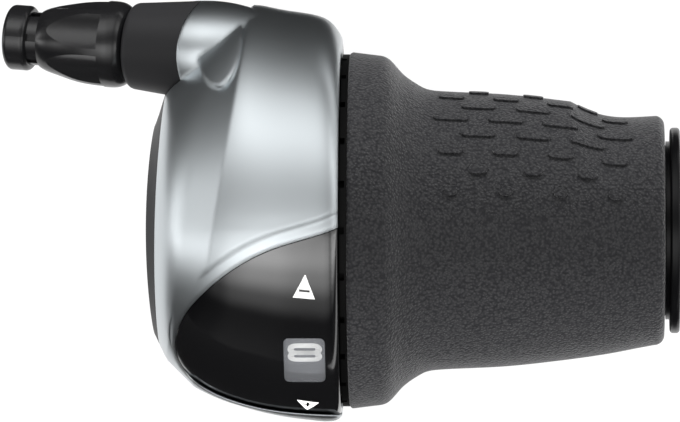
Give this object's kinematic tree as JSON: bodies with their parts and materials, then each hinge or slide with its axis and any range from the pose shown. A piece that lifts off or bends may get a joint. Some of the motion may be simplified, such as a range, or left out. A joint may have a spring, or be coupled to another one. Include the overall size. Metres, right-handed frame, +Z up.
{
  "type": "twist grip gear shifter",
  "caption": "Handlebar twist shifter: domed housing with gear window, ribbed rubber grip turning on a clamped tube, and a barrel cable adjuster.",
  "frame": {"origin": "on the handlebar axis at the inboard face of the housing", "axes": "+X along the handlebar towards its outboard end, +Y forward, +Z up"},
  "size_m": [0.1017, 0.0632, 0.0572],
  "materials": {
    "black_nylon": "glass-filled nylon, fine moulded grain",
    "silver_paint": "satin metallic silver paint on moulded plastic",
    "window_black": "polycarbonate, printed black behind",
    "smoke_lens": "smoky clear polycarbonate",
    "dial_grey": "dark grey moulding with white print",
    "sleeve_black": "hard moulded nylon",
    "grip_rubber": "thermoplastic rubber with leather grain",
    "washer_black": "smooth moulded acetal",
    "adjuster_black": "satin moulded nylon",
    "acetal": "natural acetal",
    "spring_steel": "spring steel",
    "bolt_steel": "zinc plated steel"
  },
  "bodies": {
    "base": {"base_body": "black_nylon", "top_cover": "silver_paint", "indicator_window": "window_black", "number_lens": "smoke_lens", "clamp_bolt": "bolt_steel", "clamp_nut": "bolt_steel", "cover_screws": "bolt_steel", "cable_guide": "acetal", "detent_spring": "spring_steel", "thrust_washer": "acetal", "end_washer": "washer_black"},
    "twist_grip": {"grip_sleeve": "sleeve_black", "grip_rubber": "grip_rubber", "cable_drum": "acetal", "number_ring": "dial_grey"},
    "adjuster_knob": {"adjuster_knob": "adjuster_black", "adjuster_spring": "spring_steel"},
    "adjuster_bolt": {"adjuster_bolt": "adjuster_black"}
  },
  "joints": [
    {"name": "grip_twist", "type": "hinge", "parent": "base", "child": "twist_grip", "pos_m": [0.05, 0, 0], "axis": [1, 0, 0], "range_deg": [-147, 0], "deforming": ["detent_spring"]},
    {"name": "adjuster_turn", "type": "hinge", "parent": "base", "child": "adjuster_knob", "pos_m": [0.00005, 0.0275, 0.0015], "axis": [-0.9631, 0.0741, -0.2588], "range_deg": [-360, 1440]},
    {"name": "adjuster_travel", "type": "slide", "parent": "adjuster_knob", "child": "adjuster_bolt", "axis": [-0.9631, 0.0741, -0.2588], "range_m": [-0.001, 0.004], "deforming": ["adjuster_spring"]}
  ],
  "couplings": [
    {"joint": "adjuster_turn", "follows": "adjuster_travel", "rad_per_m": 6283.2}
  ]
}
